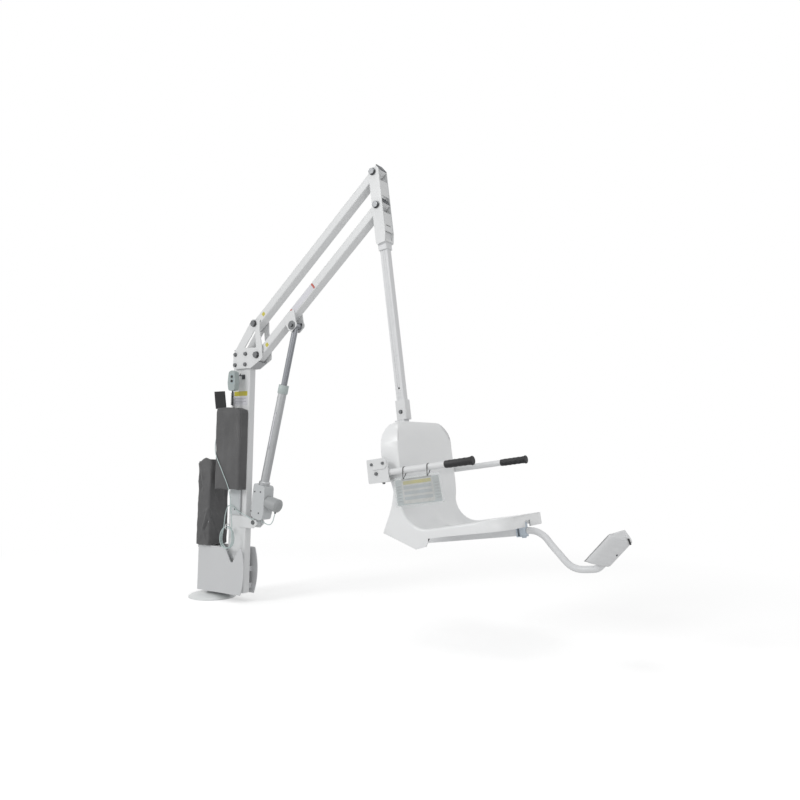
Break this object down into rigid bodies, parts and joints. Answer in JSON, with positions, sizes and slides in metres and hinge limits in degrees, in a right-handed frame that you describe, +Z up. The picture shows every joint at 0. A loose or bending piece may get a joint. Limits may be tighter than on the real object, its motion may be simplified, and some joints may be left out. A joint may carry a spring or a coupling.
{
  "type": "pool patient lift",
  "caption": "Deck-mounted pool lift: a turning mast with parallel arms raised by an electric actuator carries a moulded seat with folding armrests and a swinging footrest.",
  "frame": {"origin": "on the mast swivel axis at deck level, the underside of the anchor plate", "axes": "+Z up along the swivel axis, +X the way the arms reach, -Y the side that carries the controls"},
  "size_m": [2.6455, 0.638, 2.4243],
  "materials": {
    "white_paint": "white powder coat, satin, lightly soiled at joints",
    "blue_grey_paint": "blue-grey enamel, satin",
    "stainless": "stainless steel, turned and brushed",
    "rod_steel": "drawn steel rod, oiled",
    "tube_aluminium": "anodised tube, fine drawn lines",
    "cast_housing": "cast housing, light grey coat",
    "white_plastic": "moulded white plastic, soft gloss",
    "pad_plastic": "moulded white plastic, satin",
    "box_plastic": "light grey housing, satin",
    "cover_fabric": "coated woven fabric, mid grey, creased",
    "strap_webbing": "black woven webbing",
    "black_plastic": "black plastic, matt",
    "dark_plastic": "dark grey plastic, matt",
    "grip_rubber": "black ribbed rubber",
    "handset_plastic": "dark slate plastic, matt",
    "curly_cord_rubber": "black rubber sheath",
    "cable_sheath": "pale grey-green cable sheath",
    "tie_nylon": "white nylon",
    "black_tie": "black nylon",
    "clear_film": "clear flexible film, thin"
  },
  "bodies": {
    "deck_anchor": {"anchor_post": "stainless", "flange_cover": "white_plastic"},
    "mast": {"mast_tube": "white_paint", "mast_cap": "black_plastic", "foot_plate_near": "white_paint", "foot_plate_far": "white_paint", "swivel_hub": "white_paint", "swivel_bushes": "dark_plastic", "foot_spacers": "white_paint", "head_plates": "white_paint", "head_spacers": "white_paint", "head_brace": "stainless", "head_bolts": "stainless", "mast_pins": "stainless", "actuator_mount": "white_paint", "control_box": "box_plastic", "control_cover": "cover_fabric", "cover_strap": "strap_webbing", "battery_box": "box_plastic", "battery_cover": "cover_fabric", "handset": "handset_plastic", "handset_hook": "stainless", "handset_cord": "curly_cord_rubber", "actuator_cable": "cable_sheath", "cable_tie": "tie_nylon"},
    "up_button": {"handset_up_button": "black_plastic"},
    "down_button": {"handset_down_button": "black_plastic"},
    "lower_arm": {"lower_arm_tube": "white_paint", "lower_arm_caps": "dark_plastic", "lower_arm_bushes": "dark_plastic", "rod_clevis": "white_paint"},
    "upper_arm": {"upper_arm_tube": "white_paint", "upper_arm_caps": "dark_plastic", "upper_arm_bushes": "dark_plastic"},
    "hanger": {"apex_plates": "white_paint", "apex_web": "white_paint", "apex_pins": "stainless", "post_tube": "white_paint", "post_collar": "white_paint", "seat_sleeve": "white_paint", "seat_bolts": "stainless", "seat_frame": "white_paint", "footrest_fork": "blue_grey_paint", "seat_shell": "white_plastic", "arm_brackets": "white_paint"},
    "armrest_near": {"armrest_near_tube": "white_paint", "armrest_near_grip": "grip_rubber", "document_pouch": "clear_film", "pouch_ties": "black_tie"},
    "armrest_far": {"armrest_far_tube": "white_paint", "armrest_far_grip": "grip_rubber"},
    "footrest": {"footrest_hub": "blue_grey_paint", "footrest_tube": "white_paint", "footrest_pad": "pad_plastic"},
    "actuator": {"gear_case": "cast_housing", "motor_can": "cast_housing", "actuator_tube": "tube_aluminium", "motor_cable": "cable_sheath"},
    "rod": {"actuator_rod": "rod_steel", "rod_pin": "stainless"}
  },
  "joints": [
    {"name": "mast_swivel", "type": "hinge", "parent": "deck_anchor", "child": "mast", "pos_m": [0, 0, 0], "axis": [0, 0, 1], "continuous": true},
    {"name": "lift", "type": "hinge", "parent": "mast", "child": "lower_arm", "pos_m": [0.347, 0, 1.432], "axis": [0, -1, 0], "range_deg": [-50, 5]},
    {"name": "upper_arm_turn", "type": "hinge", "parent": "mast", "child": "upper_arm", "pos_m": [0.32, 0, 1.621], "axis": [0, -1, 0], "range_deg": [-50.1, 5.1]},
    {"name": "hanger_level", "type": "hinge", "parent": "lower_arm", "child": "hanger", "pos_m": [1.20098, 0, 2.1902], "axis": [0, -1, 0], "range_deg": [-5.1, 50.1]},
    {"name": "actuator_tilt", "type": "hinge", "parent": "mast", "child": "actuator", "pos_m": [0.348, 0, 0.4575], "axis": [0, 1, 0], "range_deg": [-0.65, 6.2]},
    {"name": "rod_slide", "type": "slide", "parent": "actuator", "child": "rod", "axis": [0.2285, 0, 0.9735], "range_m": [-0.242, 0.0245]},
    {"name": "armrest_near_flip", "type": "hinge", "parent": "hanger", "child": "armrest_near", "pos_m": [1.41185, -0.285, 0.77076], "axis": [0, -1, 0], "range_deg": [0, 85]},
    {"name": "armrest_far_flip", "type": "hinge", "parent": "hanger", "child": "armrest_far", "pos_m": [1.41185, 0.285, 0.77076], "axis": [0, -1, 0], "range_deg": [0, 85]},
    {"name": "footrest_swivel", "type": "hinge", "parent": "hanger", "child": "footrest", "pos_m": [2.01883, 0, 0.52412], "axis": [-0.1414, 0, 0.9899], "range_deg": [-90, 90]},
    {"name": "up_button_press", "type": "slide", "parent": "mast", "child": "up_button", "axis": [0, 1, 0], "range_m": [0, 0.002], "stiffness_N_per_m": 800, "springref_m": -0.001},
    {"name": "down_button_press", "type": "slide", "parent": "mast", "child": "down_button", "axis": [0, 1, 0], "range_m": [0, 0.002], "stiffness_N_per_m": 800, "springref_m": -0.001}
  ],
  "couplings": [
    {"joint": "upper_arm_turn", "follows": "lift", "ratio": 1},
    {"joint": "hanger_level", "follows": "lift", "ratio": -1},
    {"joint": "actuator_tilt", "follows": "lift", "ratio": -0.1225},
    {"joint": "rod_slide", "follows": "lift", "m_per_rad": 0.276}
  ]
}
